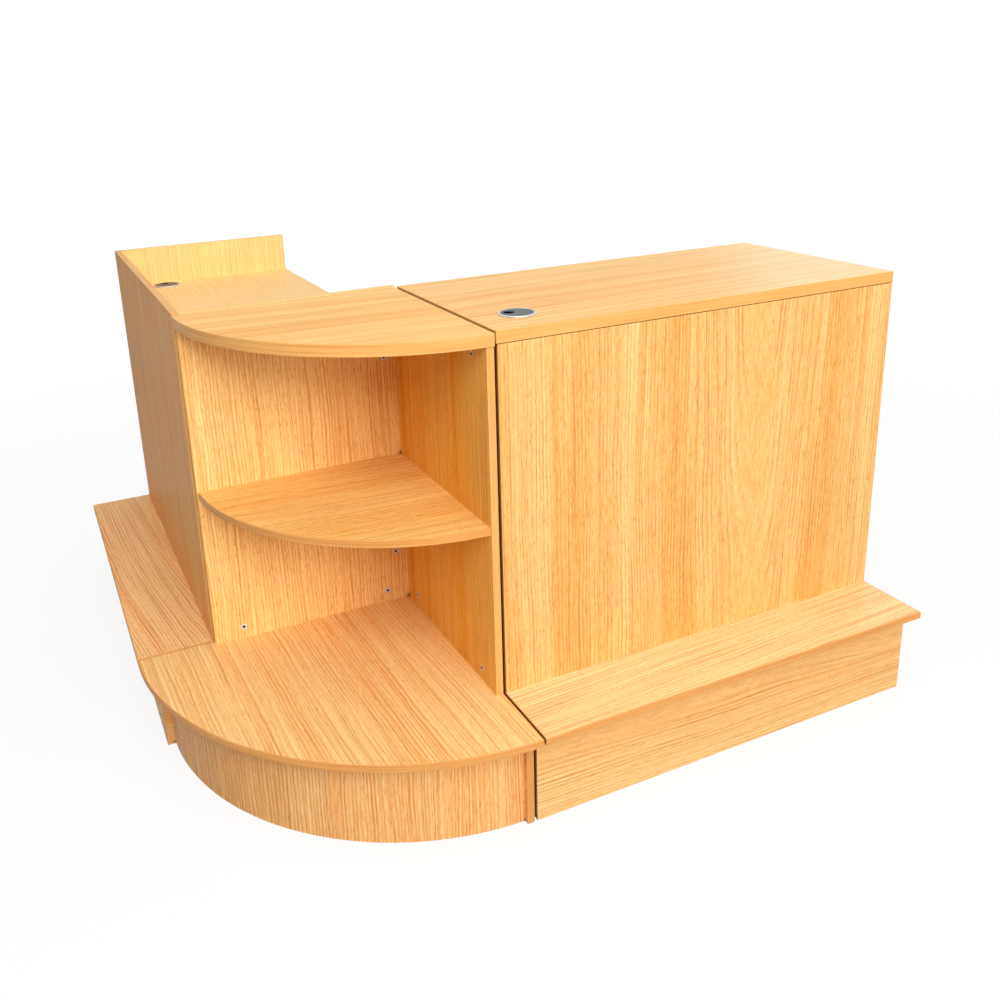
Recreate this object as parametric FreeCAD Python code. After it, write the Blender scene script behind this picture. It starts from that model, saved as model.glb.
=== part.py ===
import FreeCAD, Part
import math
import os

# An L-shaped shop counter of wood-grain melamine board, in three modules that stand on the floor:
# a corner unit with open quarter-round shelves, a right wing with a flat top, and a left wing whose
# worktop lies below a raised rim. Millimetres, +Z up. The origin is on the floor at the inside corner
# of the L, on the corner unit's axis: +X runs along the right wing and +Y along the left wing.

Vector = FreeCAD.Vector

# Board stock and edge bands
board = 16.0              # uprights, shelf, base boards, risers and plinths
top_board = 25.0          # counter top, corner top and worktop
bent_board = 9.0          # curved plinth
band = 2.0                # edge band round tops, shelf and base boards
band_round = 1.2          # rounded arris of those bands
panel_band = 1.0          # edge band on uprights and plinth ends

# Heights
counter_height = 1000.0
corner_drop = 3.0         # corner top below the wings
base_height = 225.0       # upper face of the base boards
shelf_height = 604.0      # upper face of the corner shelf
worktop_drop = 105.0      # left worktop below its rim

# Plan
wing_depth = 500.0        # wings, and radius of the corner top
front_setback = 4.0       # corner uprights and right wing inside the corner top's radius
left_setback = 0.5        # left wing inside that radius
shelf_setback = 3.0       # shelf edge behind the uprights' fronts
right_length = 1000.0
left_length = 980.0
module_gap = 5.0          # between a wing and the corner unit
end_reveal = 2.0          # wing carcass inside the ends of its top and base
top_reveal = 1.0          # shadow gap between the right wing's front panel and its top
step_depth = 172.0        # base boards in front of the corner uprights
right_riser_setback = 44.0    # risers and plinth ends under the base boards' edges
left_riser_setback = 37.0
curve_setback = 55.0      # curved plinth under the corner base's edge
rail_setback = 40.0       # plinth's back rail inside the staff-side edge

# Cam locks and dowels
cam_radius = 7.5
cam_floor = 3.5           # board left behind a cam
cam_sink = 0.3            # cam face below the board's face
cam_reach = 28.0          # cam centre from the joint
cam_clearance = 0.1
cross_length = 8.5        # driver recess
cross_width = 3.2
cross_depth = 3.2
bolt_radius = 3.0
bolt_head_radius = 3.5
bolt_head_length = 3.0
bolt_tip = 1.0            # bolt's end from the cam's centre
bolt_hole_radius = 4.0
bolt_bite = 11.0          # bolt in the other board
dowel_radius = 4.0
dowel_length = 30.0
dowel_bite = 10.0         # dowel in the other board
peg_clearance = 0.05      # round a bolt or dowel in its hole
hole_spare = 0.5          # hole past a bolt's or dowel's end

# Where the fittings go
cam_front_inset = 68.0    # from the uprights' fronts
cam_back_inset = 71.0     # from the staff-side edges
cam_edge_inset = 128.0    # from the ends of an upright joint
front_cam_inset = 330.0   # along a wing, from its carcass ends
plinth_front_inset = 80.0
plinth_back_inset = 60.0
shelf_cam_near = 150.0
shelf_cam_far = 360.0
edge_dowel_rise = 250.0   # above the base board
worktop_front_inset = 200.0
worktop_back_inset = 100.0

# Screws between the modules
joint_screw_radius = 2.0
joint_screw_head = 4.0
joint_screw_bite = 10.0
joint_screw_inset = 150.0
joint_screw_rise = 200.0

# Angle brackets of the curved plinth
bracket_angles = (22.5, 45.0, 67.5)
bracket_leg = 30.0
bracket_width = 20.0
bracket_thickness = 2.0
bracket_gap = 0.02
bracket_screw_radius = 1.75
bracket_screw_head = 3.5
bracket_head_height = 2.0
bracket_screw_bite = 6.0
bracket_hole_at = 18.0

# Cable grommets
grommet_hole_radius = 30.0
grommet_clearance = 0.2
flange_radius = 38.0
flange_height = 2.5
flange_round = 1.8
seat_radius = 34.0
seat_floor = 0.6          # seat above the top's face
lid_clearance = 0.3
lid_round = 0.6
sleeve_extra = 1.0        # sleeve past the board's underside
upper_bore_radius = 28.0
upper_bore_depth = 6.0
lower_bore_radius = 27.0
slot_radius = 11.5        # inner end and half width of the cable slot
slot_centre = 16.5        # inner end's centre from the grommet's axis
slot_reach = 25.5
pivot_radius = 3.0
pivot_clearance = 0.08
pivot_head_radius = 4.6
pivot_head_height = 1.2
shutter_radius = 27.0
shutter_thickness = 1.6
shutter_boss_radius = 4.8
shutter_gap = 0.3
right_grommet_end = 100.0     # from the wing's end at the corner
right_grommet_front = 105.0
right_slot_bearing = 150.0    # slot's direction from +X, degrees
left_grommet_end = 74.0       # from the wing's far end
left_grommet_front = 125.5
left_slot_bearing = 100.0

# Derived planes, measured from the corner unit's axis and from the floor
front = wing_depth - front_setback
left_front = wing_depth - left_setback
step = front + step_depth
right_riser_face = step - right_riser_setback
left_riser_face = step - left_riser_setback
curve_face = step - curve_setback
shelf_radius = front - shelf_setback
base_under = base_height - board
shelf_under = shelf_height - board
counter_under = counter_height - top_board
corner_height = counter_height - corner_drop
corner_under = corner_height - top_board
worktop_height = counter_height - worktop_drop
worktop_under = worktop_height - top_board
cam_depth = board - cam_floor

same = 1e-6               # sizes closer than this are equal
right = Vector(1, 0, 0)
away = Vector(0, 1, 0)
up = Vector(0, 0, 1)
mirror_normal = Vector(1, -1, 0)

nodes = {}
drillings = {}


def box(xs, ys, zs):
    return Part.makeBox(xs[1] - xs[0], ys[1] - ys[0], zs[1] - zs[0], Vector(xs[0], ys[0], zs[0]))


def rod(radius, start, direction, length):
    return Part.makeCylinder(radius, length, start, direction)


def quarter(radius, zs, inset=0.0):
    # Quarter disc of the corner unit, behind its inside corner, with its straight edges moved in
    disc = Part.makeCylinder(radius, zs[1] - zs[0], Vector(0, 0, zs[0]))
    return disc.common(box((-radius, -inset), (-radius, -inset), zs))


def rounded_rims(solid, radius, rounding):
    # Rounds the upper and lower rims of a quarter disc's arc
    arcs = [e for e in solid.Edges if e.Curve.TypeId == "Part::GeomCircle"]
    rims = [e for e in arcs if abs(e.Curve.Radius - radius) < same]
    return solid.makeFillet(rounding, rims)


def banded_quarter(radius, zs, inset=0.0):
    # Quarter-round board and the edge band along its arc
    core = quarter(radius - band, zs, inset)
    whole = rounded_rims(quarter(radius, zs, inset), radius, band_round)
    return core, whole.cut(quarter(radius - band, zs, inset))


def ring_banded(xs, ys, zs):
    # Flat board and one edge band round all four edges
    core = box((xs[0] + band, xs[1] - band), (ys[0] + band, ys[1] - band), zs)
    whole = box(xs, ys, zs)
    corners = [e for e in whole.Edges if abs(e.tangentAt(e.FirstParameter).z) > 0.5]
    whole = whole.makeFillet(band, corners)
    rims = [e for e in whole.Edges if e.BoundBox.ZLength < same]
    return core, whole.makeFillet(band_round, rims).cut(core)


def edge_banded(spans, sides):
    # Straight board and thin bands on the named sides, each butting on the bands before it
    core = dict(zip("xyz", spans))
    bands = []
    for sign, axis in sides:
        low, high = core[axis]
        strip = dict(core)
        if sign == "-":
            strip[axis] = (low, low + panel_band)
            core[axis] = (low + panel_band, high)
        else:
            strip[axis] = (high - panel_band, high)
            core[axis] = (low, high - panel_band)
        bands.append(box(strip["x"], strip["y"], strip["z"]))
    return box(core["x"], core["y"], core["z"]), bands


def cam_fitting():
    # Drawn with x towards the other board, z out of the cam's face and the origin at the cam's centre there
    mid = Vector(0, 0, -board / 2)
    joint = mid + right * cam_reach
    pocket = rod(cam_radius + cam_clearance, Vector(), -up, cam_depth)
    shank_hole = rod(bolt_hole_radius, mid, right, cam_reach)
    bite_hole = rod(bolt_radius + peg_clearance, joint, right, bolt_bite + hole_spare)
    cam = rod(cam_radius, -up * cam_sink, -up, cam_depth - cam_sink)
    half_length = cross_length / 2
    half_width = cross_width / 2
    recess_span = (-cam_sink - cross_depth, 0)
    recess = box((-half_length, half_length), (-half_width, half_width), recess_span)
    recess = recess.fuse(box((-half_width, half_width), (-half_length, half_length), recess_span))
    cam = cam.cut([recess, rod(bolt_hole_radius, mid, right, cam_reach)])
    head = rod(bolt_head_radius, mid + right * bolt_tip, right, bolt_head_length)
    shank_start = bolt_tip + bolt_head_length
    shank = rod(bolt_radius, mid + right * shank_start, right, cam_reach - shank_start + bolt_bite)
    return {"holder": pocket.fuse(shank_hole), "mate": bite_hole, "cam": cam, "bolt": head.fuse(shank)}


def dowel_fitting():
    # Drawn with x into the other board and the origin on the joint
    held = dowel_length - dowel_bite
    hole = dowel_radius + peg_clearance
    return {
        "holder": rod(hole, Vector(), -right, held + hole_spare),
        "mate": rod(hole, Vector(), right, dowel_bite + hole_spare),
        "dowel": rod(dowel_radius, right * -held, right, dowel_length),
    }


cam_shapes = cam_fitting()
dowel_shapes = dowel_fitting()


class Module:
    # One unit of the counter. A turned unit is drawn along X and mirrored onto Y.
    def __init__(self, name, turned=False):
        self.name = name
        self.turned = turned

    def placed(self, shape):
        if self.turned:
            return shape.mirror(Vector(), mirror_normal)
        return shape

    def add(self, piece, *solids):
        nodes.setdefault(self.name + "_" + piece, []).extend(self.placed(solid) for solid in solids)

    def drill(self, node, cutter):
        drillings.setdefault(node, []).append(self.placed(cutter))

    def cam(self, holder, mate, seat, face, toward):
        # A cam in the holder's face draws home a bolt that is screwed into the mate
        turn = FreeCAD.Rotation(toward, face.cross(toward), face, "ZXY")
        matrix = FreeCAD.Placement(seat, turn).toMatrix()
        self.drill(self.name + "_" + holder, cam_shapes["holder"].transformed(matrix))
        self.drill(self.name + "_" + mate, cam_shapes["mate"].transformed(matrix))
        self.add("cams", cam_shapes["cam"].transformed(matrix))
        self.add("cam_bolts", cam_shapes["bolt"].transformed(matrix))

    def dowel(self, holder, mate, joint, toward):
        matrix = FreeCAD.Placement(joint, FreeCAD.Rotation(right, toward)).toMatrix()
        self.drill(self.name + "_" + holder, dowel_shapes["holder"].transformed(matrix))
        self.drill(self.name + "_" + mate, dowel_shapes["mate"].transformed(matrix))
        self.add("dowels", dowel_shapes["dowel"].transformed(matrix))


def corner_unit():
    unit = Module("corner")
    upright = (base_height, corner_under)
    unit_top, top_edge = banded_quarter(wing_depth, (corner_under, corner_height))
    unit.add("top", unit_top)
    unit.add("top_band", top_edge)
    shelf, shelf_edge = banded_quarter(shelf_radius, (shelf_under, shelf_height), board)
    unit.add("shelf", shelf)
    unit.add("shelf_band", shelf_edge)
    base, base_edge = banded_quarter(step, (base_under, base_height))
    unit.add("base_board", base)
    unit.add("base_band", base_edge)

    # The side panel covers the back panel's edge at the inside corner
    back_panel, back_bands = edge_banded(((-front, -board), (-board, 0), upright), ["-x"])
    side_panel, side_bands = edge_banded(((-board, 0), (-front, 0), upright), ["-y"])
    unit.add("back_panel", back_panel)
    unit.add("side_panel", side_panel)
    unit.add("panel_bands", *back_bands, *side_bands)

    # Plinth: two end boards in line with the wings' risers, and the bent board between them
    plinth = (0, base_under)
    left_end, left_bands = edge_banded(((-left_riser_face, -board), (-board, 0), plinth), ["-x"])
    right_end, right_bands = edge_banded(((-board, 0), (-right_riser_face, 0), plinth), ["-y"])
    unit.add("plinth_left_end", left_end)
    unit.add("plinth_right_end", right_end)
    unit.add("plinth_bands", *left_bands, *right_bands)
    hollow = quarter(curve_face - bent_board, plinth, board)
    unit.add("curved_plinth", quarter(curve_face, plinth, board).cut(hollow))

    # Uprights to base and top
    low = base_height + cam_reach
    high = corner_under - cam_reach
    for along in (front - cam_front_inset, cam_back_inset):
        for height, mate, toward in ((low, "base_board", -up), (high, "top", up)):
            unit.cam("back_panel", mate, Vector(-along, -board, height), -away, toward)
            unit.cam("side_panel", mate, Vector(-board, -along, height), -right, toward)
    middle = (front + board) / 2
    for height, mate, toward in ((base_height, "base_board", -up), (corner_under, "top", up)):
        unit.dowel("back_panel", mate, Vector(-middle, -board / 2, height), toward)
        unit.dowel("side_panel", mate, Vector(-board / 2, -middle, height), toward)

    # Back panel to side panel
    for height in (base_height + cam_edge_inset, corner_under - cam_edge_inset):
        unit.cam("back_panel", "side_panel", Vector(-board - cam_reach, -board, height), -away, right)
    unit.dowel("back_panel", "side_panel", Vector(-board, -board / 2, base_height + edge_dowel_rise), right)

    # Shelf to the uprights, with the cams in its underside
    for along in (shelf_cam_near, shelf_cam_far):
        unit.cam("shelf", "back_panel", Vector(-along, -board - cam_reach, shelf_under), -up, away)
        unit.cam("shelf", "side_panel", Vector(-board - cam_reach, -along, shelf_under), -up, right)
    shelf_middle = (shelf_cam_near + shelf_cam_far) / 2
    shelf_centre = shelf_under + board / 2
    unit.dowel("shelf", "back_panel", Vector(-shelf_middle, -board, shelf_centre), away)
    unit.dowel("shelf", "side_panel", Vector(-board, -shelf_middle, shelf_centre), right)

    # Plinth ends to the base board and to each other
    plinth_high = base_under - cam_reach
    for along in (curve_face - plinth_front_inset, board + cam_reach + plinth_back_inset):
        unit.cam("plinth_left_end", "base_board", Vector(-along, -board, plinth_high), -away, up)
        unit.cam("plinth_right_end", "base_board", Vector(-board, -along, plinth_high), -right, up)
    corner_seat = Vector(-board - cam_reach, -board, base_under / 2)
    unit.cam("plinth_left_end", "plinth_right_end", corner_seat, -away, right)
    plinth_brackets(unit)


def plinth_brackets(unit):
    # Steel angles inside the curved plinth, screwed to it and up into the base board
    inside = curve_face - bent_board
    outer = math.sqrt(inside ** 2 - (bracket_width / 2) ** 2) - bracket_gap
    leg_face = outer - bracket_thickness
    sides = (-bracket_width / 2, bracket_width / 2)
    hang = (base_under - bracket_leg, base_under)
    under = base_under - bracket_thickness
    bite_end = inside + bracket_screw_bite
    out_at = Vector(leg_face, 0, base_under - bracket_hole_at)
    up_at = Vector(outer - bracket_hole_at, 0, under)
    angle = box((leg_face, outer), sides, hang)
    angle = angle.fuse(box((outer - bracket_leg, outer), sides, (under, base_under)))
    screws = []
    holes = []
    for start, direction, length in ((out_at, right, bite_end - leg_face),
                                     (up_at, up, bracket_thickness + bracket_screw_bite)):
        head_start = start - direction * bracket_head_height
        head = rod(bracket_screw_head, head_start, direction, bracket_head_height)
        screws.append(head.fuse(rod(bracket_screw_radius, start, direction, length)))
        holes.append(rod(bracket_screw_radius + peg_clearance, start, direction, length + hole_spare))
    angle = angle.removeSplitter().cut(holes)
    for bearing in bracket_angles:
        matrix = FreeCAD.Placement(Vector(), FreeCAD.Rotation(up, 180 + bearing)).toMatrix()
        unit.add("plinth_brackets", angle.transformed(matrix))
        unit.add("bracket_screws", *[screw.transformed(matrix) for screw in screws])
        unit.drill("corner_curved_plinth", holes[0].transformed(matrix))
        unit.drill("corner_base_board", holes[1].transformed(matrix))


def wing(unit, length, face_at, riser_at, corner_panel, panel_top, top_piece, top_under):
    # Plinth, base board and carcass of a wing, drawn along X with its front towards -Y
    back = wing_depth - face_at
    start = module_gap
    end = start + length
    inner = start + end_reveal
    outer = end - end_reveal
    raised = panel_top > top_under

    base, base_edge = ring_banded((start, end), (-step, back), (base_under, base_height))
    unit.add("base_board", base)
    unit.add("base_band", base_edge)

    # Upright panels: the front panel covers the end panels' edges
    upright = (base_height, panel_top)
    front_upright = upright if raised else (base_height, panel_top - top_reveal)
    rim = ["+z"] if raised else []
    panel_back = -face_at + board
    front_spans = ((inner, outer), (-face_at, panel_back), front_upright)
    front_panel, front_bands = edge_banded(front_spans, rim + ["-x", "+x"])
    unit.add("front_panel", front_panel)
    unit.add("front_bands", *front_bands)
    ends = (("inner", (inner, inner + board), right), ("outer", (outer - board, outer), -right))
    for which, xs, face in ends:
        panel, bands = edge_banded((xs, (panel_back, back), upright), rim + ["+y"])
        unit.add(which + "_end_panel", panel)
        unit.add("end_bands", *bands)

    # Plinth: riser across the front, two ends, and a rail set in from the staff side
    plinth = (0, base_under)
    rail_face = back - rail_setback
    rail_front = rail_face - board
    riser_back = -riser_at + board
    unit.add("riser", box((inner, outer), (-riser_at, riser_back), plinth))
    for which, xs, face in ends:
        unit.add("plinth_" + which + "_end", box(xs, (riser_back, rail_face), plinth))
    unit.add("plinth_rail", box((inner + board, outer - board), (rail_front, rail_face), plinth))

    # End panels to the base board, to a top that lies on them, and to the front panel
    joints = [("base_board", base_height, -up)]
    if not raised:
        joints.append((top_piece, top_under, up))
    for which, xs, face in ends:
        panel = which + "_end_panel"
        face_x = xs[1] if face.x > 0 else xs[0]
        centre_x = (xs[0] + xs[1]) / 2
        for mate, height, toward in joints:
            for y in (-face_at + cam_front_inset, back - cam_back_inset):
                unit.cam(panel, mate, Vector(face_x, y, height - toward.z * cam_reach), face, toward)
            unit.dowel(panel, mate, Vector(centre_x, (panel_back + back) / 2, height), toward)
        for height in (base_height + cam_edge_inset, top_under - cam_edge_inset):
            unit.cam(panel, "front_panel", Vector(face_x, panel_back + cam_reach, height), face, -away)
        unit.dowel(panel, "front_panel", Vector(centre_x, panel_back, base_height + edge_dowel_rise), -away)

    # Front panel, riser and rail to the boards above and below them
    for x in (inner + front_cam_inset, outer - front_cam_inset):
        for mate, height, toward in joints:
            unit.cam("front_panel", mate, Vector(x, panel_back, height - toward.z * cam_reach), away, toward)
        unit.cam("riser", "base_board", Vector(x, riser_back, base_under - cam_reach), away, up)
        unit.cam("plinth_rail", "base_board", Vector(x, rail_front, base_under - cam_reach), -away, up)

    # Plinth ends to the base board, riser and rail
    for which, xs, face in ends:
        plinth_end = "plinth_" + which + "_end"
        face_x = xs[1] if face.x > 0 else xs[0]
        for y in (riser_back + plinth_front_inset, rail_front - plinth_back_inset):
            unit.cam(plinth_end, "base_board", Vector(face_x, y, base_under - cam_reach), face, up)
        unit.cam(plinth_end, "riser", Vector(face_x, riser_back + cam_reach, base_under / 2), face, -away)
        rail_seat = Vector(face_x + face.x * cam_reach, rail_front, base_under / 2)
        unit.cam("plinth_rail", plinth_end, rail_seat, -away, -face)

    # Screws from inside the wing into the corner unit
    screw_x = inner + board
    length_in = screw_x + joint_screw_bite
    sink = joint_screw_head - joint_screw_radius
    head_hole = joint_screw_head + peg_clearance
    shank_hole = joint_screw_radius + peg_clearance
    for y in (-face_at + joint_screw_inset, back - joint_screw_inset):
        for height in (base_height + joint_screw_rise, top_under - joint_screw_rise):
            at = Vector(screw_x, y, height)
            head = Part.makeCone(joint_screw_head, joint_screw_radius, sink, at, -right)
            shank = rod(joint_screw_radius, at, -right, length_in)
            hole = rod(shank_hole, at, -right, length_in + hole_spare)
            nodes.setdefault("module_screws", []).append(unit.placed(head.fuse(shank)))
            countersink = Part.makeCone(head_hole, shank_hole, sink, at, -right)
            unit.drill(unit.name + "_inner_end_panel", hole.fuse(countersink))
            unit.drill(corner_panel, hole)


def right_wing():
    unit = Module("right")
    wing(unit, right_length, front, right_riser_face, "corner_side_panel", counter_under, "top",
         counter_under)
    end = module_gap + right_length
    top_span = (counter_under, counter_height)
    top, top_edge = ring_banded((module_gap, end), (-front, wing_depth - front), top_span)
    unit.add("top", top)
    unit.add("top_band", top_edge)
    centre = Vector(module_gap + right_grommet_end, -front + right_grommet_front, counter_height)
    grommet("right", "right_top", centre, right_slot_bearing)


def left_wing():
    unit = Module("left", turned=True)
    wing(unit, left_length, left_front, left_riser_face, "corner_back_panel", counter_height, "worktop",
         worktop_under)
    inner = module_gap + end_reveal + board
    outer = module_gap + left_length - end_reveal - board
    panel_back = -left_front + board
    back = wing_depth - left_front
    worktop_spans = ((inner, outer), (panel_back, back), (worktop_under, worktop_height))
    worktop, worktop_edge = edge_banded(worktop_spans, ["+y"])
    unit.add("worktop", worktop)
    unit.add("worktop_band", *worktop_edge)

    # The worktop hangs between the raised panels, with the cams in its underside
    for y in (panel_back + worktop_front_inset, back - worktop_back_inset):
        unit.cam("worktop", "inner_end_panel", Vector(inner + cam_reach, y, worktop_under), -up, -right)
        unit.cam("worktop", "outer_end_panel", Vector(outer - cam_reach, y, worktop_under), -up, right)
    for x in (inner + front_cam_inset, outer - front_cam_inset):
        unit.cam("worktop", "front_panel", Vector(x, panel_back + cam_reach, worktop_under), -up, -away)
    far_end = module_gap + left_length
    centre = Vector(-left_front + left_grommet_front, far_end - left_grommet_end, worktop_height)
    grommet("left", "left_worktop", centre, left_slot_bearing)


def grommet(side, top_node, centre, bearing):
    # Cable outlet: a flanged liner in the board, a lid with a cable slot, and a shutter that turns under it
    seat = flange_height - seat_floor
    hole_depth = top_board + sleeve_extra
    drillings.setdefault(top_node, []).append(rod(grommet_hole_radius, centre, -up, top_board))

    flange = rod(flange_radius, Vector(), up, flange_height)
    rim = [e for e in flange.Edges if e.BoundBox.ZMin > flange_height / 2]
    flange = flange.makeFillet(flange_round, rim)
    sleeve = rod(grommet_hole_radius - grommet_clearance, Vector(), -up, hole_depth)
    liner = flange.fuse(sleeve).cut([
        rod(seat_radius, up * seat_floor, up, seat),
        rod(upper_bore_radius, -up * upper_bore_depth, up, upper_bore_depth + seat_floor),
        rod(lower_bore_radius, -up * hole_depth, up, hole_depth),
    ])

    lid_radius = seat_radius - lid_clearance
    lid = rod(lid_radius, up * seat_floor, up, seat)
    lid_rim = [e for e in lid.Edges if e.BoundBox.ZMin > flange_height - same]
    lid = lid.makeFillet(lid_round, lid_rim)
    slot = rod(slot_radius, Vector(slot_centre, 0, seat_floor), up, seat)
    slot = slot.fuse(box((slot_centre, slot_reach), (-slot_radius, slot_radius), (seat_floor, flange_height)))
    shutter_top = seat_floor - shutter_gap
    shutter_under = shutter_top - shutter_thickness
    head_top = shutter_under - shutter_gap
    head_under = head_top - pivot_head_height
    pivot = rod(pivot_radius, up * head_under, up, seat_floor - head_under)
    head = rod(pivot_head_radius, up * head_under, up, pivot_head_height)
    lid = lid.cut(slot).fuse([pivot, head]).removeSplitter()

    half = rod(shutter_radius, up * shutter_under, up, shutter_thickness)
    shutter_span = (shutter_under, shutter_top)
    half = half.common(box((-shutter_radius, 0), (-shutter_radius, shutter_radius), shutter_span))
    boss = rod(shutter_boss_radius, up * shutter_under, up, shutter_thickness)
    bore = rod(pivot_radius + pivot_clearance, up * shutter_under, up, shutter_thickness)
    shutter = half.fuse(boss).removeSplitter().cut(bore)

    matrix = FreeCAD.Placement(centre, FreeCAD.Rotation(up, bearing)).toMatrix()
    for piece, solid in (("liner", liner.removeSplitter()), ("lid", lid), ("shutter", shutter)):
        nodes[side + "_grommet_" + piece] = [solid.transformed(matrix)]


def export():
    os.makedirs("parts", exist_ok=True)
    for node, solids in sorted(nodes.items()):
        if node in drillings:
            solids = [solid.cut(drillings[node]) for solid in solids]
        shape = solids[0] if len(solids) == 1 else Part.makeCompound(solids)
        shape.exportStep("parts/" + node + ".step")
        print(node, len(shape.Solids), "solids", shape.isValid(), round(shape.Volume / 1000, 1), "cm3")


corner_unit()
right_wing()
left_wing()
export()
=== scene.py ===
import math

import bmesh
import bpy
from mathutils import Matrix, Vector


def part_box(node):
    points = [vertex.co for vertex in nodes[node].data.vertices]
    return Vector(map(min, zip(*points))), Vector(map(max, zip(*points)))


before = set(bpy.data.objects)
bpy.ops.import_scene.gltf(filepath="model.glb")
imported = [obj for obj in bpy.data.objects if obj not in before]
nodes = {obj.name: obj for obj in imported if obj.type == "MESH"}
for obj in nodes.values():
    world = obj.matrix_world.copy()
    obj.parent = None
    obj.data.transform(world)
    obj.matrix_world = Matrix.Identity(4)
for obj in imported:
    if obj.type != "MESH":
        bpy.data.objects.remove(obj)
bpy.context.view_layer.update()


# helpers

def linearColor(hexColor):
    # sRGB hex to linear
    parts = [int(hexColor[i:i + 2], 16) / 255 for i in (1, 3, 5)]
    parts = [p / 12.92 if p <= 0.04045 else ((p + 0.055) / 1.055) ** 2.4 for p in parts]
    return (*parts, 1.0)


def addNode(tree, kind, inputs=None, stops=None, **settings):
    # a value that is a socket gets linked, any other is set on the input
    made = tree.nodes.new(kind)
    for key, value in settings.items():
        setattr(made, key, value)
    for key, value in (inputs or {}).items():
        if isinstance(value, bpy.types.NodeSocket):
            tree.links.new(value, made.inputs[key])
        else:
            made.inputs[key].default_value = value
    for i, (place, color) in enumerate(stops or ()):
        ramp = made.color_ramp.elements
        stop = ramp[i] if i < 2 else ramp.new(place)
        stop.position = place
        stop.color = color
    return made


def newMaterial(name):
    material = bpy.data.materials.new(name)
    material.use_nodes = True
    tree = material.node_tree
    tree.nodes.clear()
    return material, tree


def perMm(x, y, z):
    # pattern sizes in mm to the factor that makes each of them one unit
    return (1 / x, 1 / y, 1 / z)


def dress(nodeName, material):
    slots = nodes[nodeName].data.materials
    slots.clear()
    slots.append(material)


# dirt and painted shade deep in the narrow gaps, on the boards and on the bands along the wide seam: the
# less open space around, the darker
gapDirtAndShade = {
    "color": "#4A1A02",
    "reachMm": 14,                   # a facing wall within this counts
    "startsAt": 0.5, "fullAt": 0.3,  # shares of open space
    "rays": 8,
}


def darkInGaps(tree, color):
    free = addNode(tree, "ShaderNodeAmbientOcclusion", {"Distance": gapDirtAndShade["reachMm"] / 1000},
                   samples=gapDirtAndShade["rays"]).outputs["AO"]
    dirtAndShade = addNode(tree, "ShaderNodeMapRange", {"Value": free, "From Min": gapDirtAndShade["startsAt"],
                                                "From Max": gapDirtAndShade["fullAt"]}).outputs["Result"]
    return addNode(tree, "ShaderNodeMix", {"Factor": dirtAndShade, 6: color, 7: linearColor(gapDirtAndShade["color"])},
                   data_type="RGBA").outputs[2]


# oak-grain melamine: printed paper under clear resin, pressed on board with a light pore emboss.
# To the eye: honey oak in soft orange and yellow bands, year rings with brown crests and cream troughs,
# thin broken brown lines and a few cream ones that run with them, short pores, satin sheen.
oakPrint = {
    "deep": "#E89A4E", "mid": "#F5B369", "pale": "#FCD08C",
    "deepAt": 0.2, "midAt": 0.5, "paleAt": 0.8,  # their places on the scale of tones
    "ring": "#CC7E38", "line": "#BC6C28", "fleck": "#FEE5A6", "pore": "#B46A28",
    "roughness": (0.42, 0.54), "ior": 1.45,
    "embossMm": 0.05, "emboss": 0.4,
    "seedStepMm": (731, 1913, 557),  # how far apart in the log two boards are cut
    "wanderMm": (120, 460), "wanderBy": 24,  # sideways wander of the lines
    "ringSway": 2.2,  # how many year rings the bands push aside
    "steepAt": (0.2, 0.7),  # slope of the rings in the face at which they begin to show, and show in full
    # mm across and along the grain, noise detail, noise roughness
    "ringPatterns": {"band": (45, 6000, 3.0, 0.6), "line": (2.8, 500, 2.0, 0.6),
                     "fleck": (5, 1300, 1.0, 0.5), "patch": (16, 260, 1.0, 0.5)},
    # the same, drawn coarser than real fibres and pores so that they show
    "fibrePatterns": {"fibre": (3.0, 45, 2.0, 0.6), "pore": (1.6, 20, 1.0, 0.55)},
    # value at which a mark begins, value at which it is full, and its strength there
    "crestMark": (-0.1, 1.0, 0.5), "troughMark": (-0.2, -1.0, 0.3), "patchMark": (0.3, 0.65, 1.0),
    "fleckMark": (0.62, 0.80, 0.65), "lineMark": (0.54, 0.28, 0.4), "poreMark": (0.45, 0.30, 0.24),
    "bandSwing": 0.85, "fibreSwing": 0.45,  # how far bands and fibres move the tone
}

# what a board has unless its own line says otherwise
plainBoard = {
    "heart": (900, 250),  # where the rings' axis passes the board's middle, mm across and mm behind the face
    "lean": 1.0,          # degrees that axis leaves the board's plane by, which closes the rings into arches
    "turn": 0.0,          # degrees the grain turns by in the face
    "tone": 0.0,          # paler above 0, deeper below; partly the paper's own, partly painted light and shade
    "rich": 1.0, "light": 1.0, "hue": 0.5,  # saturation, brightness and hue, 0.5 as is; partly the paper's own, partly painted light and shade
    "contrast": 1.0,      # of the whole print
    "dash": 1.0,          # strength of fibres and pores
    "banded": 1.0,        # strength of the wide bands
    "ring": 8.0, "ringed": 1.0,  # spacing of the year rings in mm, and their strength
    "arch": 0.15,         # how much of bands, rings and lines is left over the heart
    "gloss": 0.2,         # of the resin, 0.5 is its full reflection
}
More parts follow.
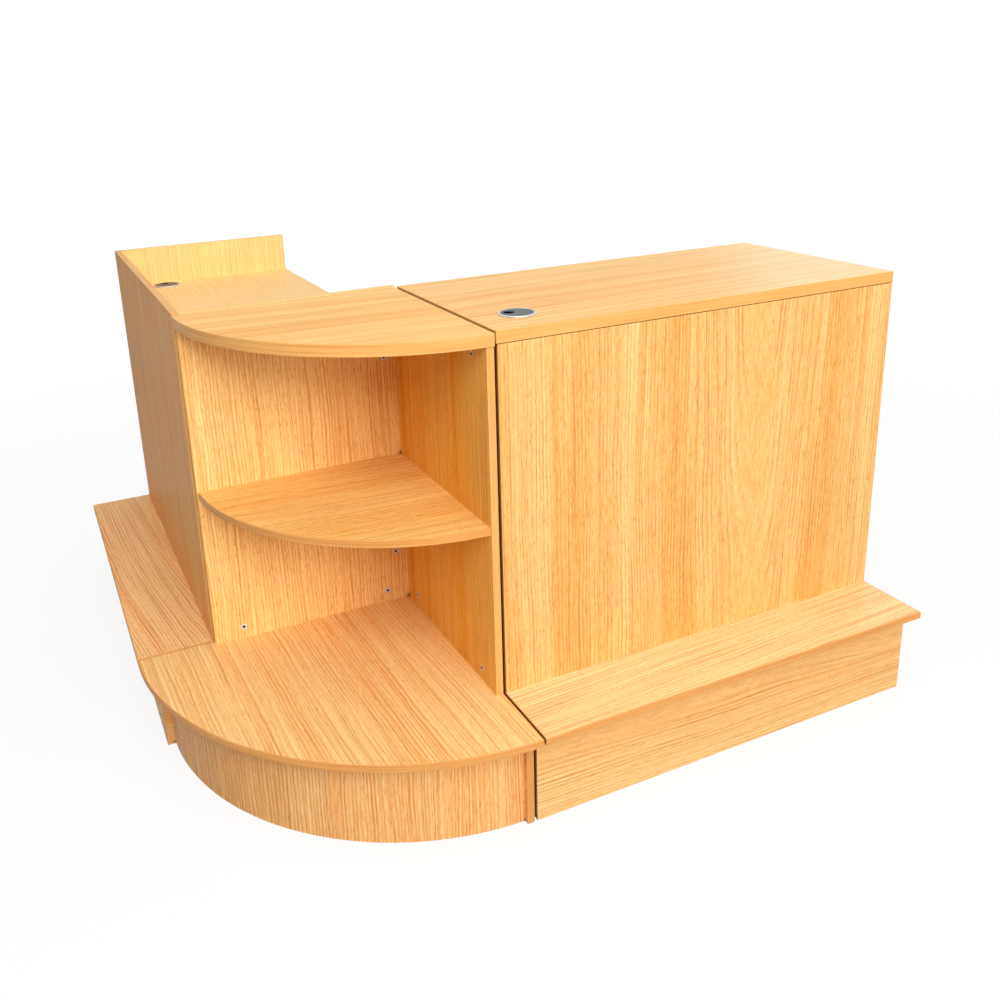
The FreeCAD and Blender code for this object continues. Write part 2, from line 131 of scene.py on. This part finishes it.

# which way the print runs on each board, and how its colour differs: partly the paper's own, partly painted
# light and shade that make faces paler, deeper, richer or brighter where the lamps light them too little or
# too much
boards = {
    "corner_top": {"along": "x", "across": "y", "turn": -4, "seed": 1, "tone": 0.18, "rich": 1.05,
                   "contrast": 0.9, "dash": 0.4},
    "corner_back_panel": {"along": "z", "across": "x", "seed": 2, "tone": 0.40, "rich": 1.06, "light": 1.04,
                          "hue": 0.498, "contrast": 1.05, "dash": 2.0},
    "corner_side_panel": {"along": "z", "across": "y", "seed": 3, "tone": 0.30, "rich": 1.2, "hue": 0.494,
                          "dash": 1.1, "ringed": 0.8},
    "corner_shelf": {"along": "x", "across": "y", "turn": -4, "seed": 4, "tone": 0.28, "rich": 1.08,
                     "light": 1.02, "contrast": 1.25, "dash": 1.2, "banded": 0.5, "ringed": 0.7},
    "corner_base_board": {"along": "y", "across": "x", "turn": -2, "seed": 5, "tone": 0.24, "contrast": 1.1,
                          "dash": 1.2, "ringed": 0.8},
    "corner_curved_plinth": {"along": "z", "across": "x", "seed": 6, "tone": 0.06, "light": 1.02,
                             "hue": 0.497, "contrast": 0.8, "dash": 2.2, "banded": 0.6, "ring": 6.6,
                             "ringed": 1.5},
    "corner_plinth_left_end": {"along": "x", "across": "z", "seed": 7},
    "corner_plinth_right_end": {"along": "y", "across": "z", "seed": 8},
    "right_top": {"along": "x", "across": "y", "turn": 2, "seed": 9, "tone": 0.16, "rich": 1.05,
                  "contrast": 1.1, "dash": 0.4, "gloss": 0.42},
    "right_front_panel": {"along": "z", "across": "x", "heart": (140, 110), "lean": 3, "seed": 10,
                          "tone": 0.15, "rich": 1.04, "light": 0.93, "contrast": 0.92, "dash": 1.9,
                          "ringed": 0.8},
    "right_inner_end_panel": {"along": "z", "across": "y", "seed": 11},
    "right_outer_end_panel": {"along": "z", "across": "y", "seed": 12},
    "right_base_board": {"along": "x", "across": "y", "turn": 3, "seed": 13, "tone": 0.54, "rich": 0.94,
                         "contrast": 1.4, "dash": 0.9, "ringed": 0.7},
    "right_riser": {"along": "x", "across": "z", "heart": (80, 60), "lean": 2, "seed": 14, "tone": 0.1,
                    "light": 0.98, "contrast": 0.85, "dash": 1.5},
    "right_plinth_inner_end": {"along": "y", "across": "z", "seed": 15},
    "right_plinth_outer_end": {"along": "y", "across": "z", "seed": 16},
    "right_plinth_rail": {"along": "x", "across": "z", "seed": 17},
    "left_worktop": {"along": "y", "across": "x", "seed": 18, "tone": 0.64, "light": 1.06, "contrast": 0.6,
                     "dash": 0.6, "gloss": 0.3},
    "left_front_panel": {"along": "z", "across": "y", "seed": 19, "tone": 0.30, "rich": 1.08, "light": 1.08,
                         "hue": 0.486, "contrast": 1.15, "gloss": 0.03},
    "left_inner_end_panel": {"along": "z", "across": "x", "seed": 20, "tone": 0.3, "contrast": 0.5,
                             "dash": 0.4},
    "left_outer_end_panel": {"along": "z", "across": "x", "seed": 21, "tone": 0.64, "rich": 1.03,
                             "light": 1.04, "contrast": 0.65},
    "left_base_board": {"along": "y", "across": "x", "heart": (-10, 80), "lean": 9, "turn": -3, "seed": 22,
                        "tone": 0.22, "hue": 0.494, "contrast": 1.1, "dash": 1.2, "banded": 0.7, "ring": 7,
                        "ringed": 1.15, "arch": 0.9},
    "left_riser": {"along": "y", "across": "z", "seed": 23},
    "left_plinth_inner_end": {"along": "x", "across": "z", "seed": 24},
    "left_plinth_outer_end": {"along": "x", "across": "z", "seed": 25},
    "left_plinth_rail": {"along": "y", "across": "z", "seed": 26},
}

axes = {"x": Vector((1, 0, 0)), "y": Vector((0, 1, 0)), "z": Vector((0, 0, 1))}


def placeInLog(tree, centre, board):
    # mm across the face, along the grain and behind the face
    alongAxis = axes[board["along"]]
    acrossAxis = axes[board["across"]]
    turned = Matrix((acrossAxis, alongAxis, acrossAxis.cross(alongAxis)))
    turned = Matrix.Rotation(math.radians(board["turn"]), 3, "Z") @ turned
    turned = Matrix.Rotation(math.radians(board["lean"]), 3, "X") @ turned
    shift = Vector(oakPrint["seedStepMm"]) * (board["seed"] + 1)
    move = shift - turned @ (Vector(centre) * 1000)
    at = addNode(tree, "ShaderNodeTexCoord").outputs["Object"]
    mm = addNode(tree, "ShaderNodeMapping", {"Vector": at, "Location": move, "Scale": (1000, 1000, 1000),
                                             "Rotation": turned.to_euler("XYZ")}).outputs["Vector"]

    # lines wander sideways together
    wide, long = oakPrint["wanderMm"]
    wanderAt = addNode(tree, "ShaderNodeVectorMath", {0: mm, 1: perMm(wide, long, wide)},
                       operation="MULTIPLY").outputs["Vector"]
    wander = addNode(tree, "ShaderNodeTexNoise", {"Vector": wanderAt, "Scale": 1.0, "Detail": 3.0,
                                                  "Roughness": 0.5}).outputs["Color"]
    sideways = (oakPrint["wanderBy"], 0, oakPrint["wanderBy"])
    grain = addNode(tree, "ShaderNodeVectorMath", {0: wander, 1: sideways, 2: mm},
                    operation="MULTIPLY_ADD").outputs["Vector"]

    # distance from the heart, and height
    parts = addNode(tree, "ShaderNodeSeparateXYZ", {"Vector": grain}).outputs
    heartAt = (shift.x + board["heart"][0], 0, shift.z + board["heart"][1])
    flat = addNode(tree, "ShaderNodeVectorMath", {0: grain, 1: (1, 0, 1)},
                   operation="MULTIPLY").outputs["Vector"]
    away = addNode(tree, "ShaderNodeVectorMath", {0: flat, 1: heartAt},
                   operation="DISTANCE").outputs["Value"]
    rings = addNode(tree, "ShaderNodeCombineXYZ", {"X": away, "Y": parts["Y"]}).outputs["Vector"]

    # over the heart a ring lies flat in the face, and bands and lines fade to plain pores there
    aside = addNode(tree, "ShaderNodeMath", {0: parts["X"], 1: heartAt[0]}, operation="SUBTRACT").outputs[0]
    slope = addNode(tree, "ShaderNodeMath", {0: aside, 1: away}, operation="DIVIDE").outputs[0]
    steep = addNode(tree, "ShaderNodeMath", {0: slope}, operation="ABSOLUTE").outputs[0]
    cut = addNode(tree, "ShaderNodeMapRange", {"Value": steep, "From Min": oakPrint["steepAt"][0],
                                               "From Max": oakPrint["steepAt"][1], "To Min": board["arch"]},
                  interpolation_type="SMOOTHSTEP").outputs["Result"]
    return grain, rings, away, cut


def makeOak(name, centre, board):
    contrast = board["contrast"]
    material, tree = newMaterial(name)
    grain, rings, away, cut = placeInLog(tree, centre, board)
    layers = {}
    for group, source, flatness in (("ringPatterns", rings, "2D"), ("fibrePatterns", grain, "3D")):
        for kind, (thin, long, detail, roughness) in oakPrint[group].items():
            place = addNode(tree, "ShaderNodeVectorMath", {0: source, 1: perMm(thin, long, thin)},
                            operation="MULTIPLY").outputs["Vector"]
            layers[kind] = addNode(tree, "ShaderNodeTexNoise", {"Vector": place, "Scale": 1.0,
                                                                "Detail": detail, "Roughness": roughness},
                                   noise_dimensions=flatness).outputs["Fac"]

    # year rings: a wave of the distance, spaced unevenly by the bands, strong in patches
    sway = addNode(tree, "ShaderNodeMath", {0: layers["band"], 1: 2 * math.pi * oakPrint["ringSway"]},
                   operation="MULTIPLY").outputs[0]
    phase = addNode(tree, "ShaderNodeMath", {0: away, 1: 2 * math.pi / board["ring"], 2: sway},
                    operation="MULTIPLY_ADD").outputs[0]
    wave = addNode(tree, "ShaderNodeMath", {0: phase}, operation="SINE").outputs[0]

    # masks of the marks: flecks, lines and patches are held back over the heart, rings between the patches
    masks = {"cut": cut}
    for kind, value, strength, curve, heldBy in (
            ("patch", layers["patch"], contrast * board["ringed"], "LINEAR", "cut"),
            ("crest", wave, 1.0, "SMOOTHSTEP", "patch"),
            ("trough", wave, 1.0, "SMOOTHSTEP", "patch"),
            ("fleck", layers["fleck"], contrast, "LINEAR", "cut"),
            ("line", layers["line"], contrast, "LINEAR", "cut"),
            ("pore", layers["pore"], contrast * board["dash"], "LINEAR", None)):
        first, last, most = oakPrint[kind + "Mark"]
        mask = addNode(tree, "ShaderNodeMapRange", {"Value": value, "From Min": first, "From Max": last,
                                                    "To Max": most * strength},
                       interpolation_type=curve).outputs["Result"]
        if heldBy:
            mask = addNode(tree, "ShaderNodeMath", {0: mask, 1: masks[heldBy]},
                           operation="MULTIPLY").outputs[0]
        masks[kind] = mask

    # colour: bands and fibres first, both noises about 0.5, then the marks over them
    centred = addNode(tree, "ShaderNodeMath", {0: layers["band"], 1: 0.5}, operation="SUBTRACT").outputs[0]
    swing = addNode(tree, "ShaderNodeMath", {0: cut, 1: oakPrint["bandSwing"] * contrast * board["banded"]},
                    operation="MULTIPLY").outputs[0]
    weight = oakPrint["fibreSwing"] * contrast * board["dash"]
    middle = oakPrint["midAt"] + board["tone"] - weight / 2
    fibres = addNode(tree, "ShaderNodeMath", {0: layers["fibre"], 1: weight, 2: middle},
                     operation="MULTIPLY_ADD").outputs[0]
    level = addNode(tree, "ShaderNodeMath", {0: centred, 1: swing, 2: fibres},
                    operation="MULTIPLY_ADD").outputs[0]
    tones = [(oakPrint[tint + "At"], linearColor(oakPrint[tint])) for tint in ("deep", "pale", "mid")]
    color = addNode(tree, "ShaderNodeValToRGB", {"Fac": level}, stops=tones).outputs["Color"]
    for kind, over in (("crest", "ring"), ("trough", "fleck"), ("fleck", "fleck"), ("line", "line"),
                       ("pore", "pore")):
        color = addNode(tree, "ShaderNodeMix", {"Factor": masks[kind], 6: color,
                                                7: linearColor(oakPrint[over])}, data_type="RGBA").outputs[2]
    # per-board saturation, brightness and hue, partly painted light and shade
    color = addNode(tree, "ShaderNodeHueSaturation", {"Color": color, "Hue": board["hue"],
                                                      "Saturation": board["rich"],
                                                      "Value": board["light"]}).outputs["Color"]
    # painted shade, with dirt, darkens the board deep in narrow gaps
    color = darkInGaps(tree, color)

    smooth, rough = oakPrint["roughness"]
    sheen = addNode(tree, "ShaderNodeMapRange", {"Value": layers["band"], "To Min": smooth,
                                                 "To Max": rough}).outputs["Result"]
    emboss = addNode(tree, "ShaderNodeBump", {"Height": masks["pore"], "Strength": oakPrint["emboss"],
                                              "Distance": oakPrint["embossMm"] / 1000},
                     invert=True).outputs["Normal"]
    shader = addNode(tree, "ShaderNodeBsdfPrincipled", {"Base Color": color, "Roughness": sheen,
                                                        "Normal": emboss, "IOR": oakPrint["ior"],
                                                        "Specular IOR Level": board["gloss"]})
    addNode(tree, "ShaderNodeOutputMaterial", {"Surface": shader.outputs[0]})
    return material


for boardName, ownSettings in boards.items():
    low, high = (Vector(corner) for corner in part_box(boardName))
    board = {**plainBoard, **ownSettings}
    dress(boardName, makeOak("oak_melamine_pressed_" + boardName, (low + high) / 2, board))
print("boards:", len(boards))


# edge bands: PVC strip, calendered and printed like the boards.
# To the eye: plain oak-coloured streaks along the strip, no rings or pores, satin.
edgeBand = {
    # pale and deep of each colour set: the low set deeper as painted shade on strips turned away from the
    # lamps, the rim set paler
    "tops": ("#EFB66C", "#E19C52"), "low": ("#E6A65E", "#D48C48"), "rim": ("#F8CE84", "#EFBA6C"),
    "paleAt": 0.68, "deepAt": 0.32,
    "streakMm": 3.5, "runMm": 260,
    "roughness": 0.46, "ior": 1.5, "gloss": 0.2,
}
bands = (  # axes that the strips follow, colour set, whether they line the wide seam by the corner unit and get its painted shade and dirt, strips
    ("xy", "tops", False, ("corner_top_band", "right_top_band", "left_worktop_band")),
    ("xy", "low", False, ("corner_shelf_band", "corner_base_band", "left_base_band")),
    ("xy", "low", True, ("right_base_band",)),
    ("z", "tops", False, ("corner_panel_bands",)),
    ("yz", "tops", False, ("right_end_bands", "left_front_bands")),
    ("xz", "rim", False, ("left_end_bands",)),
    ("xz", "tops", True, ("right_front_bands",)),
    ("z", "low", False, ("corner_plinth_bands",)),
)


def makeEdgeBand(name, run, bandTone, soiledAndShaded):
    # the low set's deeper colours are partly painted shade
    pale, deep = edgeBand[bandTone]
    material, tree = newMaterial(name)
    at = addNode(tree, "ShaderNodeTexCoord").outputs["Object"]
    factor = [1000 / (edgeBand["runMm"] if axis in run else edgeBand["streakMm"]) for axis in "xyz"]
    place = addNode(tree, "ShaderNodeVectorMath", {0: at, 1: factor}, operation="MULTIPLY").outputs["Vector"]
    streaks = addNode(tree, "ShaderNodeTexNoise", {"Vector": place, "Scale": 1.0, "Detail": 3.0,
                                                   "Roughness": 0.6}).outputs["Fac"]
    tones = ((edgeBand["deepAt"], linearColor(deep)), (edgeBand["paleAt"], linearColor(pale)))
    color = addNode(tree, "ShaderNodeValToRGB", {"Fac": streaks}, stops=tones).outputs["Color"]
    # painted shade, with dirt, darkens the strips deep in the wide seam
    if soiledAndShaded:
        color = darkInGaps(tree, color)
    shader = addNode(tree, "ShaderNodeBsdfPrincipled", {"Base Color": color, "IOR": edgeBand["ior"],
                                                        "Roughness": edgeBand["roughness"],
                                                        "Specular IOR Level": edgeBand["gloss"]})
    addNode(tree, "ShaderNodeOutputMaterial", {"Surface": shader.outputs[0]})
    return material


for run, bandTone, soiledAndShaded, bandNames in bands:
    words = ["oak_pvc_band_calendered", run, bandTone]
    if soiledAndShaded:
        words.append("seam")
    strip = makeEdgeBand("_".join(words), run, bandTone, soiledAndShaded)
    for nodeName in bandNames:
        dress(nodeName, strip)
print("band materials:", len(bands))


# fittings: each a speckle of two near colours, which also varies its shine
speckle = {"deepAt": 0.35, "paleAt": 0.65, "roughnessBy": 0.08}
fittings = {
    # die-cast zinc: pale gray skin with a soft shine, and a driver slot darkened by painted shade and dirt
    "zinc_die_cast": {"on": "_cams", "pale": "#F4F4F0", "deep": "#E2E2DE", "metallic": 0.3,
                      "roughness": 0.38, "grainMm": 1.5,
                      "hollowMm": 6.0, "dirtAndShade": "#080604", "darkestAt": 0.72, "unshadedAt": 0.97},
    # zinc-plated steel: mid gray metal, lightly mottled
    "steel_zinc_plated": {"on": ("_cam_bolts", "_screws", "_brackets"), "pale": "#C9C9C6", "deep": "#A2A3A2",
                          "metallic": 1.0, "roughness": 0.35, "grainMm": 2.0},
    # turned beech: bare pale brown wood, dull
    "beech_turned": {"on": "_dowels", "pale": "#E3C08A", "deep": "#C99D63", "metallic": 0.0,
                     "roughness": 0.65, "grainMm": 3.0},
    # moulded gray ABS: even dark gray with the fine grain of the mould
    "abs_gray_moulded": {"on": "_lid", "pale": "#4A4D4B", "deep": "#3B3E3D", "metallic": 0.0,
                         "roughness": 0.45, "grainMm": 1.0},
    # moulded black ABS: near black, a little duller
    "abs_black_moulded": {"on": "_shutter", "pale": "#1C1D1D", "deep": "#131414", "metallic": 0.0,
                          "roughness": 0.5, "grainMm": 1.0},
    # silver-sprayed ABS: pale silver paint on the flange, black plastic below the spray
    "abs_silver_sprayed": {"on": "_liner", "pale": "#D4D6D5", "deep": "#BFC2C1", "metallic": 0.35,
                           "roughness": 0.32, "grainMm": 0.8, "sprayMm": 1.8, "bare": "#1A1B1B"},
}


def makeFitting(name, finish, top):
    # sprayMm: paint reaches this far below top, the height of the piece's upper face
    # hollowMm: painted shade and dirt darken where walls are this near
    material, tree = newMaterial(name)
    at = addNode(tree, "ShaderNodeTexCoord").outputs["Object"]
    spots = addNode(tree, "ShaderNodeTexNoise", {"Vector": at, "Scale": 1000 / finish["grainMm"],
                                                 "Detail": 3.0}).outputs["Fac"]
    tones = [(speckle[tint + "At"], linearColor(finish[tint])) for tint in ("deep", "pale")]
    color = addNode(tree, "ShaderNodeValToRGB", {"Fac": spots}, stops=tones).outputs["Color"]
    if "sprayMm" in finish:
        height = addNode(tree, "ShaderNodeSeparateXYZ", {"Vector": at}).outputs["Z"]
        bare = addNode(tree, "ShaderNodeMath", {0: height, 1: top - finish["sprayMm"] / 1000},
                       operation="LESS_THAN").outputs[0]
        color = addNode(tree, "ShaderNodeMix", {"Factor": bare, 6: color, 7: linearColor(finish["bare"])},
                        data_type="RGBA").outputs[2]
    # painted shade, with dirt, deep in the driver slot
    if "hollowMm" in finish:
        free = addNode(tree, "ShaderNodeAmbientOcclusion",
                       {"Distance": finish["hollowMm"] / 1000}).outputs["AO"]
        unshaded = addNode(tree, "ShaderNodeMapRange", {"Value": free, "From Min": finish["darkestAt"],
                                                     "From Max": finish["unshadedAt"]}).outputs["Result"]
        color = addNode(tree, "ShaderNodeMix", {"Factor": unshaded, 6: linearColor(finish["dirtAndShade"]), 7: color},
                        data_type="RGBA").outputs[2]
    smooth = finish["roughness"] - speckle["roughnessBy"]
    rough = finish["roughness"] + speckle["roughnessBy"]
    sheen = addNode(tree, "ShaderNodeMapRange", {"Value": spots, "To Min": smooth,
                                                 "To Max": rough}).outputs["Result"]
    shader = addNode(tree, "ShaderNodeBsdfPrincipled", {"Base Color": color, "Roughness": sheen,
                                                        "Metallic": finish["metallic"]})
    addNode(tree, "ShaderNodeOutputMaterial", {"Surface": shader.outputs[0]})
    return material


for finishName, finish in fittings.items():
    shared = None
    for nodeName in nodes:
        if not nodeName.endswith(finish["on"]):
            continue
        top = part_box(nodeName)[1][2]
        if "sprayMm" in finish:  # a material for each, because their flanges lie at different heights
            dress(nodeName, makeFitting(finishName + "_" + nodeName, finish, top))
        else:
            shared = shared or makeFitting(finishName, finish, top)
            dress(nodeName, shared)
print("fitting finishes:", len(fittings))


# studio: pale floor, white surround, five soft lamps, dim sky
studio = {
    "floorSize": 40.0, "floorDropMm": 0.5,
    "floorColor": "#F6F5F3", "floorBounce": "#ABAAA8",  # as seen, and as it lights the counter
    "glow": (0.86, 1.0), "glowFrom": (1.2, 3.5),  # share of pure white at these metres from the corner
    "white": (1.0, 1.0, 1.0, 1.0), "sky": 0.12,  # the surround as seen, and its strength as a light
    "aim": (0.1, -0.1, 0.5),
}
lamps = {  # place, size, power
    "fill": ((1.7, -6.45, 2.66), 3.0, 202),  # low, reaches into the open shelves
    "key": ((-1.7, -4.5, 4.4), 3.5, 276),
    "overhead": ((0.1, -0.9, 5.4), 4.0, 100),
    "window": ((4.9, 3.4, 2.0), 1.6, 29),    # sheen on the far end of the right top
    "back": ((2.2, 4.6, 0.55), 0.9, 130),    # staff side, from below the tops
}


def seenDirectly(tree):
    # 1 for rays from the camera, mirrors and glass
    path = addNode(tree, "ShaderNodeLightPath").outputs
    seen = addNode(tree, "ShaderNodeMath", {0: path["Is Camera Ray"], 1: path["Is Glossy Ray"]},
                   operation="MAXIMUM").outputs[0]
    return addNode(tree, "ShaderNodeMath", {0: seen, 1: path["Is Transmission Ray"]},
                   operation="MAXIMUM").outputs[0]


world = bpy.data.worlds.new("studio")
bpy.context.scene.world = world
world.use_nodes = True
tree = world.node_tree
tree.nodes.clear()
dim = addNode(tree, "ShaderNodeBackground", {"Color": studio["white"], "Strength": studio["sky"]})
white = addNode(tree, "ShaderNodeBackground", {"Color": studio["white"], "Strength": 1.0})
sky = addNode(tree, "ShaderNodeMixShader", {0: seenDirectly(tree), 1: dim.outputs[0], 2: white.outputs[0]})
addNode(tree, "ShaderNodeOutputWorld", {"Surface": sky.outputs[0]})

floorMesh = bpy.data.meshes.new("floor")
sheet = bmesh.new()
bmesh.ops.create_grid(sheet, x_segments=1, y_segments=1, size=studio["floorSize"] / 2)
sheet.to_mesh(floorMesh)
sheet.free()
floor = bpy.data.objects.new("floor", floorMesh)
floor.location.z = -studio["floorDropMm"] / 1000
bpy.context.collection.objects.link(floor)

# painted floor: matt where it bounces light, close to pure white where it is seen, with the shadow left in
floorPaint, tree = newMaterial("studio_floor_painted")
seen = seenDirectly(tree)
floorAt = addNode(tree, "ShaderNodeTexCoord").outputs["Object"]
reach = addNode(tree, "ShaderNodeVectorMath", {0: floorAt}, operation="LENGTH").outputs["Value"]
nearGlow, farGlow = studio["glow"]
nearReach, farReach = studio["glowFrom"]
glowShare = addNode(tree, "ShaderNodeMapRange", {"Value": reach, "From Min": nearReach, "From Max": farReach,
                                                 "To Min": nearGlow, "To Max": farGlow}).outputs["Result"]
paint = addNode(tree, "ShaderNodeMix", {"Factor": seen, 6: linearColor(studio["floorBounce"]),
                                        7: linearColor(studio["floorColor"])}, data_type="RGBA").outputs[2]
matt = addNode(tree, "ShaderNodeBsdfDiffuse", {"Color": paint})
glow = addNode(tree, "ShaderNodeEmission", {"Color": studio["white"], "Strength": 1.0})
share = addNode(tree, "ShaderNodeMath", {0: seen, 1: glowShare}, operation="MULTIPLY")
mixed = addNode(tree, "ShaderNodeMixShader", {0: share.outputs[0], 1: matt.outputs[0], 2: glow.outputs[0]})
addNode(tree, "ShaderNodeOutputMaterial", {"Surface": mixed.outputs[0]})
floorMesh.materials.append(floorPaint)

for lampName, (place, size, power) in lamps.items():
    lamp = bpy.data.lights.new(lampName, "AREA")
    lamp.size = size
    lamp.energy = power
    lampObject = bpy.data.objects.new(lampName, lamp)
    lampObject.location = place
    lampObject.visible_camera = False
    toAim = Vector(studio["aim"]) - Vector(place)
    lampObject.rotation_euler = toAim.to_track_quat("-Z", "Y").to_euler()
    bpy.context.collection.objects.link(lampObject)
print("lamps:", len(lamps))


# camera: where the photograph was taken from, with its off-centre crop as lens shift
view = {"place": (-0.7924, -2.0960, 1.4477), "turn": (72.363, 2.038, -25.118),
        "lens": 35.866, "sensor": 36.0, "shift": (0.0359, -0.1058)}
cameraData = bpy.data.cameras.new("camera")
cameraData.lens = view["lens"]
cameraData.sensor_width = view["sensor"]
cameraData.shift_x, cameraData.shift_y = view["shift"]
camera = bpy.data.objects.new("camera", cameraData)
camera.location = view["place"]
camera.rotation_euler = [math.radians(angle) for angle in view["turn"]]
bpy.context.collection.objects.link(camera)
bpy.context.scene.camera = camera
bpy.context.scene.view_settings.view_transform = "Standard"
print("camera set")
